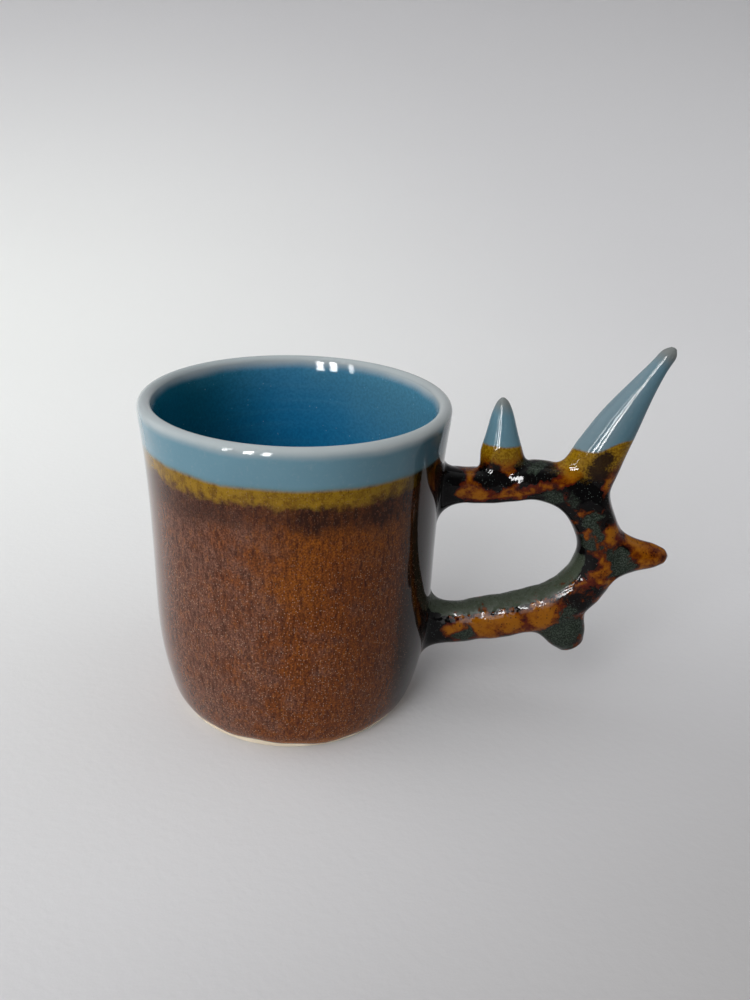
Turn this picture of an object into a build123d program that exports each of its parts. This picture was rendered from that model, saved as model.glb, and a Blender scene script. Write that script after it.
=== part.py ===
from build123d import *

from dataclasses import dataclass
import math
import os

# A thrown stoneware drinking mug with a thorned loop handle, in millimetres.
# +Z is up, the origin is the centre of the foot's underside, and the handle points along +X.
# The clay pieces are the thrown cup, the pulled handle bow, two root collars and four rolled thorns.
# The glazes are separate coats: a poured liner, a dipped rim with two thorn caps, and a wall coat.

# Cup, measured over its glaze
cup_height = 92.0
rim_radius = 42.5
lip_thickness = 3.8
floor_thickness = 5.4
glaze_coat = 0.45

# The rim was dipped upside down, so the rim band and the thorn caps end on one level below the rim
dip_band = 10.6
cap_coat = 0.35

# Foot, in bare clay
foot_radius = 34.6
foot_band = 1.8
foot_ring_width = 5.5
foot_recess = 1.4

# Handle bow: a loop of pulled clay, its line running from the upper root round to the lower root
upper_arm_drop = 23.4
lower_arm_height = 23.6
handle_reach = 46.6
arm_depth = 10.4
arm_breadth = 10.4

# Root collars: the clay fillet worked round each end of the bow
upper_collar_flare = 5.6
lower_collar_flare = 4.4
collar_lip = 0.4

# Thorns: length from the bow's line to the tip, and thickness at the neck, over the clay
short_thorn_length = 24.1
short_thorn_neck = 10.6
long_thorn_length = 47.0
long_thorn_neck = 14.0
side_thorn_length = 20.4
side_thorn_neck = 11.8
lower_thorn_length = 16.0
lower_thorn_neck = 13.4

# One overrun serves all cuts
overrun = 5.0

# Outer wall over the glaze, between the foot band and the lip: each point is a share of the rim
# radius and a share of the cup's height.
outer_wall_shares = [
    (0.887, 0.085),
    (0.932, 0.200),
    (0.953, 0.440),
    (0.965, 0.740),
    (0.992, 0.925),
]
# Inside over the glaze: a share of the inner lip radius, and of the depth from the lip to the floor.
inner_wall_shares = [
    (1.000, 1.000),
    (0.970, 0.830),
    (0.955, 0.550),
    (0.938, 0.280),
    (0.880, 0.100),
    (0.700, 0.020),
    (0.400, 0.003),
    (0.000, 0.000),
]

# The bow starts at the wall, a share of the rim radius out, and is buried by a share of the lip.
wall_share = 0.965
root_bury_share = 0.6
# Rise of the bow line as it leaves the upper root, and its fall as it reaches the lower root.
upper_root_rise_share = 0.07
lower_root_fall_share = 0.11
# Bow line and thickness: a share of the reach out from the wall, a share of the height from lower
# to upper arm, then shares of the arm's depth and breadth there.
bow_shares = [
    (0.129, 0.998, 0.93, 0.94),
    (0.365, 1.024, 0.96, 0.96),
    (0.601, 1.058, 1.03, 0.99),
    (0.779, 1.007, 1.12, 1.04),
    (0.934, 0.842, 1.19, 1.06),
    (0.996, 0.642, 1.14, 1.06),
    (0.981, 0.464, 1.18, 1.05),
    (0.910, 0.316, 1.28, 1.04),
    (0.785, 0.197, 1.28, 1.03),
    (0.601, 0.118, 1.25, 1.02),
    (0.376, 0.050, 1.19, 1.02),
    (0.139, 0.003, 1.16, 1.02),
]
# How square the sections are: the share of each side that its curved corner's handle reaches.
bow_fullness_share = 0.72
thorn_fullness_share = 0.5523

# Where each thorn stands on the bow line, as a share of its length, its lean from +Z in degrees,
# and how far its middle bows towards -X, as a share of its own length.
short_thorn_seat_share = 0.155
short_thorn_lean_angle = -4.0
short_thorn_bow_share = 0.0
long_thorn_seat_share = 0.337
long_thorn_lean_angle = 24.2
long_thorn_bow_share = 0.036
side_thorn_seat_share = 0.500
side_thorn_lean_angle = 88.0
side_thorn_bow_share = 0.0
lower_thorn_seat_share = 0.678
lower_thorn_lean_angle = 154.0
lower_thorn_bow_share = 0.0

# Thorn outlines: a share of the length, then of the neck thickness along the bow and across it.
short_thorn_outline_shares = [
    (0.06, 1.75, 0.78),
    (0.24, 1.50, 0.82),
    (0.33, 1.22, 0.85),
    (0.43, 1.05, 0.86),
    (0.58, 0.87, 0.79),
    (0.73, 0.70, 0.67),
    (0.87, 0.52, 0.51),
    (0.95, 0.34, 0.34),
    (0.99, 0.16, 0.16),
]
long_thorn_outline_shares = [
    (0.08, 1.30, 0.66),
    (0.17, 1.24, 0.69),
    (0.26, 1.06, 0.72),
    (0.36, 0.97, 0.74),
    (0.49, 0.86, 0.70),
    (0.66, 0.63, 0.57),
    (0.83, 0.39, 0.38),
    (0.92, 0.295, 0.29),
    (0.97, 0.22, 0.22),
    (0.995, 0.11, 0.11),
]
side_thorn_outline_shares = [
    (0.10, 2.00, 0.78),
    (0.23, 1.62, 0.82),
    (0.36, 1.14, 0.84),
    (0.50, 0.86, 0.79),
    (0.66, 0.71, 0.69),
    (0.80, 0.59, 0.59),
    (0.91, 0.43, 0.43),
    (0.975, 0.22, 0.22),
]
lower_thorn_outline_shares = [
    (0.08, 1.34, 0.68),
    (0.30, 1.24, 0.72),
    (0.55, 1.02, 0.72),
    (0.78, 0.82, 0.66),
    (0.91, 0.60, 0.50),
    (0.98, 0.34, 0.28),
]
# How far each collar hangs below the bow's line at the wall, and how far it flares to each side
# across the handle, as shares of its flare.
upper_collar_hang_share = 0.42
lower_collar_hang_share = 0.10
collar_side_share = 0.62
# Collar outline: a share of the flare out from the wall, and the share of the flare it still adds.
collar_outline_shares = [
    (-0.40, 1.24),
    (0.00, 0.90),
    (0.14, 0.58),
    (0.38, 0.25),
    (0.72, 0.06),
    (1.00, 0.00),
]

UP = (0, 1)
DOWN = (0, -1)
TO_AXIS = (-1, 0)
UP_AND_OUT = (math.cos(math.radians(45)), math.sin(math.radians(45)))

lip_radius = lip_thickness / 2
lip_centre_radius = rim_radius - lip_radius
lip_centre_height = cup_height - lip_radius
inner_lip_radius = rim_radius - lip_thickness
floor_height = foot_recess + floor_thickness
dip_line_height = cup_height - dip_band
wall_radius = wall_share * rim_radius
root_bury = root_bury_share * lip_thickness
upper_arm_height = cup_height - upper_arm_drop


@dataclass
class Thorn:
    """One rolled thorn: where it stands on the bow, its middle line and its outline."""

    seat_share: float
    length: float
    lean_angle: float
    bow_share: float
    neck: float
    outline_shares: list


def smooth_line(points, ends):
    """A smooth line through the points that leaves and arrives along the two end directions."""
    return Spline(*points, tangents=ends, tangent_scalars=(1, 1))


def shifted_line(points, ends, distance):
    """A smooth line through the points, each moved square to that line by the distance."""
    line = smooth_line(points, ends)
    moved = []
    for point in points:
        heading = line % line.param_at_point(Vector(*point))
        square = Vector(heading.Y, -heading.X)
        moved.append(Vector(*point) + square * distance)
    return smooth_line(moved, ends)


def outer_line(inset):
    """The cup's outer wall from the foot band to the lip, moved into the wall by the inset."""
    wall = [(radius * rim_radius, height * cup_height) for radius, height in outer_wall_shares]
    points = [(foot_radius + glaze_coat, foot_band), *wall, (rim_radius, lip_centre_height)]
    return shifted_line(points, [UP_AND_OUT, UP], -inset)


def inner_line(inset):
    """The cup's inside from the lip to the middle of the floor, moved into the wall by the inset."""
    depth = lip_centre_height - floor_height
    points = [
        (radius * inner_lip_radius, floor_height + height * depth)
        for radius, height in inner_wall_shares
    ]
    return shifted_line(points, [DOWN, TO_AXIS], -inset)


def lip_arc(inset):
    """The round lip from the outer wall over to the inside, with its radius less the inset."""
    radius = lip_radius - inset
    outer = (lip_centre_radius + radius, lip_centre_height)
    top = (lip_centre_radius, lip_centre_height + radius)
    inner = (lip_centre_radius - radius, lip_centre_height)
    return ThreePointArc(outer, top, inner)


def turned(outline):
    """A flat half outline, radius by height, turned about Z into a solid."""
    return revolve(Plane.XZ * outline, Axis.Z)


def make_cup_body():
    """The thrown cup: wall, floor and a bare foot ring round a shallow recess."""
    wall = outer_line(glaze_coat)
    inside = inner_line(glaze_coat)
    lip = lip_arc(glaze_coat)
    ring_inner = foot_radius - foot_ring_width
    foot_edge = wall @ 0
    underside = Polyline(
        inside @ 1,
        (0, foot_recess),
        (ring_inner - foot_recess, foot_recess),
        (ring_inner, 0),
        (foot_radius, 0),
        (foot_edge.X, foot_edge.Y),
    )
    return turned(make_face([wall, lip, inside, underside]))


def make_cup_blank():
    """The cup filled solid up to its clay wall: what the bow and the collars are cut off on."""
    wall = outer_line(glaze_coat)
    top, bottom = wall @ 1, wall @ 0
    core = Polyline(top, (0, top.Y), (0, bottom.Y), bottom)
    return turned(make_face([wall, core]))


def coat_outline(bare, glazed):
    """A glaze coat's half outline: the band between the bare line and the glazed line of a wall."""
    return make_face([bare, glazed, Line(bare @ 0, glazed @ 0), Line(bare @ 1, glazed @ 1)])


def make_liner_glaze():
    """The poured coat inside the cup, from the lip to the middle of the floor."""
    return turned(coat_outline(inner_line(glaze_coat), inner_line(0)))


def make_outer_coats():
    """The outer coat, parted at the dip line: the rim coat, with the lip, and the wall coat."""
    coat = coat_outline(outer_line(glaze_coat), outer_line(0))
    lip = coat_outline(lip_arc(glaze_coat), lip_arc(0))
    below = Rectangle(2 * (rim_radius + overrun), 2 * dip_line_height)
    return turned((coat - below) + lip), turned(coat & below)


def section(place, depth, breadth, fullness):
    """A softly squared section: four curved quarters between the ends of its two axes."""
    deep, broad = depth / 2, breadth / 2
    ends = [(1, 0), (0, 1), (-1, 0), (0, -1)]
    quarters = []
    for (x_from, y_from), (x_to, y_to) in zip(ends, ends[1:] + ends[:1]):
        start = (x_from * deep, y_from * broad)
        leave = ((x_from + fullness * x_to) * deep, (y_from + fullness * y_to) * broad)
        arrive = ((x_to + fullness * x_from) * deep, (y_to + fullness * y_from) * broad)
        quarters.append(Bezier(start, leave, arrive, (x_to * deep, y_to * broad)))
    return place * make_face(quarters)


def square_to(line, share):
    """The plane square to a line in XZ, its first axis in XZ and its second across the handle."""
    heading = line % share
    return Plane(line @ share, x_dir=(heading.Z, 0, -heading.X), z_dir=heading)


def bow_stations():
    """The bow's points with its depth and breadth there, from inside the upper root to the lower."""
    span = upper_arm_height - lower_arm_height
    rows = [
        (Vector(wall_radius + out * handle_reach, 0, lower_arm_height + up * span), depth, breadth)
        for out, up, depth, breadth in bow_shares
    ]
    first, last = rows[0], rows[-1]
    buried = wall_radius - root_bury
    rise = (first[0].X - buried) * upper_root_rise_share
    fall = (last[0].X - buried) * lower_root_fall_share
    rows.insert(0, (Vector(buried, 0, first[0].Z - rise), *first[1:]))
    rows.append((Vector(buried, 0, last[0].Z - fall), *last[1:]))
    return rows


def make_bow_line():
    """The line through the middle of the handle, from inside the wall round and back into it."""
    points = [point for point, _, _ in bow_stations()]
    return smooth_line(points, [(1, 0, upper_root_rise_share), (-1, 0, -lower_root_fall_share)])


def bow_sizes(line):
    """The bow's sizes along its line: for each of its points the share, the depth and the breadth."""
    return [
        (line.param_at_point(point), depth * arm_depth, breadth * arm_breadth)
        for point, depth, breadth in bow_stations()
    ]


def bow_size(line, share):
    """The bow's depth and breadth at any share of its line, between the two nearest points."""
    sizes = bow_sizes(line)
    for (start, depth_0, breadth_0), (end, depth_1, breadth_1) in zip(sizes, sizes[1:]):
        if share <= end:
            blend = (share - start) / (end - start)
            return depth_0 + (depth_1 - depth_0) * blend, breadth_0 + (breadth_1 - breadth_0) * blend
    return sizes[-1][1:]


def make_bow(line, cup_blank):
    """The pulled bow: its sections along the line, cut off on the cup's clay wall."""
    sections = [
        section(square_to(line, share), depth, breadth, bow_fullness_share)
        for share, depth, breadth in bow_sizes(line)
    ]
    return loft(sections) - cup_blank


def make_collar(line, root, flare, hang_share, cup_blank, bow):
    """The fillet of clay worked round a root: it follows the bow and flares out to the wall."""
    towards = 1 if root == 0 else -1
    sections = []
    for out, extra in collar_outline_shares:
        share = root + towards * (root_bury + out * flare) / line.length
        depth, breadth = bow_size(line, share)
        place = Pos(0, 0, -extra * hang_share * flare) * square_to(line, share)
        high = depth + 2 * (collar_lip + extra * flare)
        wide = breadth + 2 * (collar_lip + extra * flare * collar_side_share)
        sections.append(section(place, high, wide, bow_fullness_share))
    return loft(sections) - cup_blank - bow


def thorn_line(bow_line, thorn):
    """A thorn's middle line: from the bow's line to the tip, with its middle bowed sideways."""
    angle = math.radians(thorn.lean_angle)
    along = Vector(math.sin(angle), 0, math.cos(angle))
    across = Vector(math.cos(angle), 0, -math.sin(angle))
    root = bow_line @ thorn.seat_share
    middle = root + along * (thorn.length / 2) - across * (thorn.bow_share * thorn.length * 2)
    return Bezier(root, middle, root + along * thorn.length)


def thorn_form(bow_line, thorn, extra):
    """A thorn's whole form, root and all: sections along its line, grown by the extra all round."""
    line = thorn_line(bow_line, thorn)
    sections = [
        section(
            square_to(line, share),
            deep * thorn.neck + 2 * extra,
            broad * thorn.neck + 2 * extra,
            thorn_fullness_share,
        )
        for share, deep, broad in thorn.outline_shares
    ]
    return loft(sections)


def make_cap(bow_line, thorn, clay):
    """The blue cap on a thorn: the coat round its form above the dip line."""
    reach = rim_radius + handle_reach + thorn.length
    above = Pos(0, 0, dip_line_height) * Box(
        2 * reach, 2 * reach, reach, align=(Align.CENTER, Align.CENTER, Align.MIN)
    )
    return (thorn_form(bow_line, thorn, cap_coat) & above) - clay


short_thorn = Thorn(
    short_thorn_seat_share,
    short_thorn_length,
    short_thorn_lean_angle,
    short_thorn_bow_share,
    short_thorn_neck,
    short_thorn_outline_shares,
)
long_thorn = Thorn(
    long_thorn_seat_share,
    long_thorn_length,
    long_thorn_lean_angle,
    long_thorn_bow_share,
    long_thorn_neck,
    long_thorn_outline_shares,
)
side_thorn = Thorn(
    side_thorn_seat_share,
    side_thorn_length,
    side_thorn_lean_angle,
    side_thorn_bow_share,
    side_thorn_neck,
    side_thorn_outline_shares,
)
lower_thorn = Thorn(
    lower_thorn_seat_share,
    lower_thorn_length,
    lower_thorn_lean_angle,
    lower_thorn_bow_share,
    lower_thorn_neck,
    lower_thorn_outline_shares,
)


def make_all():
    """Every piece of the mug by its name, each one cut to what it sits on."""
    line = make_bow_line()
    pieces = {"cup_body": make_cup_body(), "liner_glaze": make_liner_glaze()}
    cup_blank = make_cup_blank()
    bow = make_bow(line, cup_blank)
    upper = make_collar(line, 0, upper_collar_flare, upper_collar_hang_share, cup_blank, bow)
    lower = make_collar(line, 1, lower_collar_flare, lower_collar_hang_share, cup_blank, bow)
    rim_coat, wall_coat = make_outer_coats()
    pieces["rim_glaze"] = rim_coat - upper
    pieces["wall_glaze"] = wall_coat - bow - upper - lower
    pieces["handle_bow"] = bow
    pieces["upper_root_collar"] = upper
    pieces["lower_root_collar"] = lower
    pieces["short_thorn"] = thorn_form(line, short_thorn, 0) - bow
    pieces["long_thorn"] = thorn_form(line, long_thorn, 0) - bow
    pieces["side_thorn"] = thorn_form(line, side_thorn, 0) - bow
    pieces["lower_thorn"] = thorn_form(line, lower_thorn, 0) - bow
    pieces["short_thorn_cap"] = make_cap(line, short_thorn, pieces["short_thorn"])
    pieces["long_thorn_cap"] = make_cap(line, long_thorn, pieces["long_thorn"])
    return pieces


os.makedirs("parts", exist_ok=True)
for name, piece in make_all().items():
    print(name, "volume", round(piece.volume), "mm3")
    export_step(piece, f"parts/{name}.step")
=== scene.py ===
# %% [markdown]
# # A thorned stoneware mug
#
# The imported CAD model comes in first, as a frame that never moves. It fixes every size and place.
# Around it, this lesson builds the mug again as smooth clay and glaze surfaces, gives each of them
# a glaze worked out in shader nodes, and sets a camera, a paper sweep and window light.

# %% The frame
import math

import bpy
import numpy as np
from mathutils import Matrix


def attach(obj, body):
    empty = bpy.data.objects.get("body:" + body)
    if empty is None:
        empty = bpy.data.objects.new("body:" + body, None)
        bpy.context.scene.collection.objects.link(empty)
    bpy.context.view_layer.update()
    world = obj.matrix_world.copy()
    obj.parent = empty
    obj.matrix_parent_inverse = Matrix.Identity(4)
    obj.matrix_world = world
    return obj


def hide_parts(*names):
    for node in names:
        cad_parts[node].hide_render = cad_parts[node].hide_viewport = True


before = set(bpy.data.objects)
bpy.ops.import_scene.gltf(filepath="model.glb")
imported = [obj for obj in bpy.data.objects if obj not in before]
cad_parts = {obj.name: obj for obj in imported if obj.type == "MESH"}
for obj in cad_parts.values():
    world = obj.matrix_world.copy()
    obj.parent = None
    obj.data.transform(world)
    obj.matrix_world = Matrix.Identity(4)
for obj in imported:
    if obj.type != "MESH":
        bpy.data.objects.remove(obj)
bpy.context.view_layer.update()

print("CAD nodes:", sorted(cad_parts))


# %% [markdown]
# ## Smooth lines and closed skins
#
# A potter's line has no corners: the wall, the handle and the thorns all run on smoothly. A cubic
# spline through a few points, with its slope and its bend both running on from piece to piece, is
# such a line. It is found by solving one small set of equations, so it needs no loop over points.
# Every piece of the mug is then a grid of points, ring after ring, that is sewn into a closed skin.
# Lengths are in millimetres in this lesson, and only the sewing turns them into Blender's metres.

# %% Smooth lines
METRE = 0.001


def smooth_curve(knots, values, places, start=None, end=None):
    """Cubic through the values at the knots. The slopes are the solution of the equations that say
    that the second derivative runs on at each knot, and is nil at an end without a given slope."""
    knots, values, places = (np.asarray(part, float) for part in (knots, values, places))
    gaps = np.diff(knots)
    rises = np.diff(values, axis=0) / gaps[:, None]
    middle = np.concatenate(([2 / gaps[0]], 2 * (1 / gaps[:-1] + 1 / gaps[1:]), [2 / gaps[-1]]))
    system = np.diag(middle) + np.diag(1 / gaps, 1) + np.diag(1 / gaps, -1)
    pull = 3 * rises / gaps[:, None]
    wanted = np.vstack((pull[:1], pull[:-1] + pull[1:], pull[-1:]))
    for row, slope in ((0, start), (-1, end)):
        if slope is not None:
            system[row] = 0
            system[row, row] = 1
            wanted[row] = slope
    slopes = np.linalg.solve(system, wanted)
    cell = np.clip(np.searchsorted(knots, places, side="right") - 1, 0, len(gaps) - 1)
    gap = gaps[cell][:, None]
    u = ((places - knots[cell]) / gaps[cell])[:, None]
    return (
        values[cell] * (1 + 2 * u) * (1 - u) ** 2
        + slopes[cell] * gap * u * (1 - u) ** 2
        + values[cell + 1] * u**2 * (3 - 2 * u)
        + slopes[cell + 1] * gap * u**2 * (u - 1)
    )


def along(points):
    """How far along each point lies: the running sum of the straight distances between them."""
    steps = np.linalg.norm(np.diff(points, axis=0), axis=1)
    return np.concatenate(([0], np.cumsum(steps)))


def smooth_line(points, count, start=None, end=None):
    """A smooth line through the points, given again as count points at even steps along it."""
    points = np.asarray(points, float)
    knots = along(points)
    dense = smooth_curve(knots, points, np.linspace(0, knots[-1], 40 * len(points)), start, end)
    steps = along(dense)
    even = np.linspace(0, steps[-1], count)
    return np.stack([np.interp(even, steps, column) for column in dense.T], axis=1)


def unit(vectors):
    """The same directions with length 1."""
    return vectors / np.linalg.norm(vectors, axis=-1, keepdims=True)


def ease(values, low, high):
    """0 up to low, 1 from high, and the smooth step 3u^2 - 2u^3 between them."""
    u = np.clip((values - low) / (high - low), 0, 1)
    return u * u * (3 - 2 * u)


# %% Closed skins
SHARP_EDGE = math.radians(40)  # faces that meet at a steeper angle than this keep an edge


def put(name, data, axes=np.eye(3), spot=(0, 0, 0)):
    """Puts a mesh, lamp or camera into the scene, at a spot in metres and with its own X, Y and Z
    along the three axes. A finished piece stays at the origin, with its place in its mesh."""
    holder = bpy.data.objects.new(name, data)
    place = np.eye(4)
    place[:3, :3], place[:3, 3] = np.transpose(axes), spot
    holder.matrix_world = Matrix(place.tolist())
    bpy.context.scene.collection.objects.link(holder)
    return holder


def sew(name, rings, first_pole=None, last_pole=None, ring_loop=False, marks=None):
    """A closed mesh from rings of points, rows by columns by 3, in mm. Quads join each ring to the
    next, and triangles join an end ring to its pole. With ring_loop the last ring joins the first.
    marks holds one number per ring point by name, kept as attributes for the piece's finish."""
    rows, columns, _ = rings.shape
    number = np.arange(rows * columns).reshape(rows, columns)
    if ring_loop:
        number = np.vstack((number, number[:1]))
    turned = np.roll(number, -1, axis=1)
    corners = (number[:-1], turned[:-1], turned[1:], number[1:])
    faces = np.stack(corners, axis=-1).reshape(-1, 4).tolist()
    points = rings.reshape(-1, 3)
    for pole, ring, flip in ((first_pole, 0, True), (last_pole, -1, False)):
        if pole is not None:
            hub = np.full(columns, len(points))
            fan = np.stack((number[ring], turned[ring], hub), axis=1)
            faces += (fan[:, ::-1] if flip else fan).tolist()
            points = np.vstack((points, pole))
    a, b, c = (points[[face[k] for face in faces]] for k in (0, 1, 2))
    d = points[[face[-1] for face in faces]]
    volume = (np.sum(np.cross(a, b) * c) + np.sum(np.cross(a, c) * d)) / 6
    if volume < 0:
        faces = [face[::-1] for face in faces]
    mesh = bpy.data.meshes.new(name)
    mesh.from_pydata((points * METRE).tolist(), [], faces)
    mesh.shade_smooth()
    mesh.set_sharp_from_angle(angle=SHARP_EDGE)
    for mark, numbers in (marks or {}).items():
        values = np.full(len(points), np.mean(numbers), np.float32)
        values[: rows * columns] = numbers.ravel()
        mesh.attributes.new(mark, "FLOAT", "POINT").data.foreach_set("value", values)
    print(f"{name}: {len(points)} points, {len(faces)} faces, {abs(volume) / 1000:.2f} cm3")
    return put(name, mesh)


# %% [markdown]
# ## The thrown cup
#
# The real cup is thrown on a wheel, so every piece of it is a profile turned about the Z axis: the
# clay, the blue coat poured inside, the blue band of the dipped rim and the rust coat on the wall.
# The lines are drawn over the glaze, and the clay lies under them by the glaze's thickness. The lip
# is round and runs into a gentle flare inside. A turned profile could be a Screw modifier, but a
# grid also lets the glaze end unevenly above the foot.

# %% Profiles of the cup
CUP_HEIGHT, RIM_RADIUS, LIP = 92.0, 42.5, 3.8
FOOT_RADIUS, FOOT_BAND, FOOT_RING, FOOT_RECESS = 34.6, 1.8, 5.5, 1.4
GLAZE, DIP_LINE, FLOOR = 0.45, 81.4, 6.8
LIP_CENTRE = (RIM_RADIUS - LIP / 2, CUP_HEIGHT - LIP / 2)
LIP_TURN = math.radians(160)  # the lip is round as far as this, and then runs into a gentle flare
CUP_TURNS = np.linspace(0, 2 * math.pi, 288, endpoint=False)

outer_points = [
    (35.05, FOOT_BAND), (37.70, 7.82), (39.61, 18.4), (40.50, 40.48),
    (41.01, 68.08), (42.16, 85.10), (42.50, LIP_CENTRE[1]),
]
inner_points = [
    (LIP_CENTRE[0] + LIP / 2 * math.cos(LIP_TURN), LIP_CENTRE[1] + LIP / 2 * math.sin(LIP_TURN)),
    (38.28, 88.90), (37.93, 86.50), (37.72, 82.00), (37.54, 75.94), (36.96, 52.61), (36.30, 30.12),
    (34.06, 15.13), (27.09, 8.47), (15.48, 7.05), (0.0, FLOOR),
]
outer_line = smooth_line(outer_points, 160, start=(0.7, 0.7), end=(0, 1))
inner_line = smooth_line(
    inner_points, 124, start=(-math.sin(LIP_TURN), math.cos(LIP_TURN)), end=(-1, 0)
)


def lip_arc(radius, count=40):
    """An arc about the lip's centre, from the outer wall over the top to the inside."""
    turn = np.linspace(0, LIP_TURN, count)
    arc = np.stack((np.cos(turn), np.sin(turn)), axis=1)
    return np.asarray(LIP_CENTRE) + radius * arc


def bare(line):
    """The clay under a glazed line: each point moved into the wall, square to the line."""
    slope = unit(np.gradient(line, axis=0))
    moved = line + GLAZE * np.stack((-slope[:, 1], slope[:, 0]), axis=1)
    moved[:, 0] = np.maximum(moved[:, 0], 0)
    return moved


def turned(profile):
    """A profile of (radius, height) turned about Z: x = r cos a, y = r sin a, z = height."""
    radius, height = profile[:, :1], profile[:, 1:]
    level = height * np.ones(len(CUP_TURNS))
    return np.stack((radius * np.cos(CUP_TURNS), radius * np.sin(CUP_TURNS), level), axis=-1)


wall_radius = lambda height: np.interp(height, outer_line[:, 1], outer_line[:, 0])
print("wall radius at mid height:", round(float(wall_radius(46.0)), 2), "mm")

# %% The clay and its coats
foot_inner = FOOT_RADIUS - FOOT_RING
underside = np.array([
    (20.0, FOOT_RECESS), (foot_inner - 1.8, FOOT_RECESS), (foot_inner - 0.9, 1.1),
    (foot_inner - 0.3, 0.35), (foot_inner + 0.3, 0.06), (foot_inner + 0.9, 0.0),
    (FOOT_RADIUS - 0.9, 0.0), (FOOT_RADIUS - 0.35, 0.08), (FOOT_RADIUS - 0.08, 0.35),
    (FOOT_RADIUS, 0.9), (FOOT_RADIUS, 1.5),
])
clay_outer, clay_lip, clay_inner = bare(outer_line), lip_arc(LIP / 2 - GLAZE), bare(inner_line)
under, clay_floor, floor = (0, 0, FOOT_RECESS), (0, 0, FLOOR - GLAZE), (0, 0, FLOOR)
clay_profile = np.vstack((underside, clay_outer, clay_lip, clay_inner[1:-1]))
cup_clay = sew("cup_clay", turned(clay_profile), under, clay_floor)

liner_rows = turned(np.vstack((clay_inner[-2::-1], inner_line[:-1])))
liner_coat = sew("liner_coat", liner_rows, clay_floor, floor)

split = np.searchsorted(outer_line[:, 1], DIP_LINE)
dip_point = np.array([(wall_radius(DIP_LINE), DIP_LINE)])
dip_ledge = dip_point - (GLAZE, 0)
band = np.vstack((dip_point, outer_line[split:], lip_arc(LIP / 2)[1:]))
band_back = np.vstack((clay_lip[::-1], clay_outer[split:][::-1]))
rim_coat = sew("rim_coat", turned(np.vstack((band, band_back, dip_ledge))), ring_loop=True)

# The wall coat's lower edge wanders as it goes round the foot
wall_front = np.vstack((outer_line[:split], dip_point))
wall_rows = turned(np.vstack((wall_front, dip_ledge, clay_outer[:split][::-1])))
creep = 0.32 * np.sin(3 * CUP_TURNS + 1.1) + 0.22 * np.sin(7 * CUP_TURNS + 0.4)
creep = creep + 0.14 * np.sin(17 * CUP_TURNS) - 0.25
wall_rows[..., 2] += (1 - ease(wall_rows[..., 2], 1.5, 6.0)) * creep
wall_coat = sew("wall_coat", wall_rows, ring_loop=True)


# %% [markdown]
# ## The pulled handle
#
# A handle is pulled from a lump of wet clay, then bent into a loop and pressed onto the wall. Its
# section is a soft square that grows and shrinks along the loop. One function gives any point of
# its skin from two numbers, how far along the loop and how far round the section, and the thorns
# and the fillets ask the same function where the skin is, so that they run into it without a step.

# %% The bow's skin
bow_stations = np.array([
    # x, z, depth in the loop's plane, breadth across it
    (38.73, 68.37, 9.67, 9.78), (47.02, 68.51, 9.67, 9.78), (58.02, 69.68, 9.98, 9.98),
    (69.02, 71.21, 10.71, 10.30), (77.31, 68.92, 11.65, 10.82), (84.30, 61.35, 11.85, 11.02),
    (87.43, 52.49, 12.05, 11.02), (86.73, 44.48, 12.72, 10.92), (83.42, 37.82, 13.82, 10.82),
    (77.59, 32.47, 13.82, 10.71), (69.02, 28.91, 13.50, 10.61), (58.53, 25.85, 12.86, 10.61),
    (47.49, 23.74, 12.54, 10.61), (38.73, 22.77, 12.54, 10.61),
])
bow_reach = along(bow_stations[:, :2])
bow_length = bow_reach[-1]


def bow_middle(place):
    """Middle line and sizes at a distance along the bow, and the direction it runs in."""
    back, rows, ahead = (
        smooth_curve(bow_reach, bow_stations, np.asarray(place) + step) for step in (-0.05, 0, 0.05)
    )
    return rows, unit(ahead[:, :2] - back[:, :2])


def lumps(points):
    """The unevenness that fingers leave: long waves that cross each other, about 0.3 in or out."""
    x, y, z = points[..., 0], points[..., 1], points[..., 2]
    return (
        0.13 * np.sin(0.34 * x + 0.21 * z + 0.7)
        + 0.11 * np.sin(0.47 * z - 0.28 * x + 0.5 * y + 2.1)
        + 0.08 * np.sin(0.62 * y + 0.55 * x + 0.9)
        + 0.05 * np.sin(0.9 * z + 0.8 * x + 0.4 * y)
    )


def soft_square(turn, fullness):
    """A unit section: between the ends of its two axes each quarter is a Bezier curve whose handles
    reach a share of the way, the fullness, to the corner. turn is 0 to 1 all the way round."""
    quarter = np.floor(turn * 4) % 4
    t = turn * 4 - np.floor(turn * 4)
    down = (1 - t) ** 3 + 3 * (1 - t) ** 2 * t + 3 * (1 - t) * t**2 * fullness
    up = 3 * (1 - t) ** 2 * t * fullness + 3 * (1 - t) * t**2 + t**3
    first = np.select([quarter == 0, quarter == 1, quarter == 2], [down, -up, -down], up)
    second = np.select([quarter == 0, quarter == 1, quarter == 2], [up, down, -up], -down)
    return first, second


# How far a section's curves reach to its corners: full, rounder, at the wall, and a true round
FULL, ROUNDER, AT_WALL, ROUND = 0.76, 0.65, 0.62, 0.5523


def bow_fullness(place):
    """The section is a full square on the upper arm, and eases to a rounder one past the bend."""
    return FULL + (ROUNDER - FULL) * ease(place, 46.0, 64.0)


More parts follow.
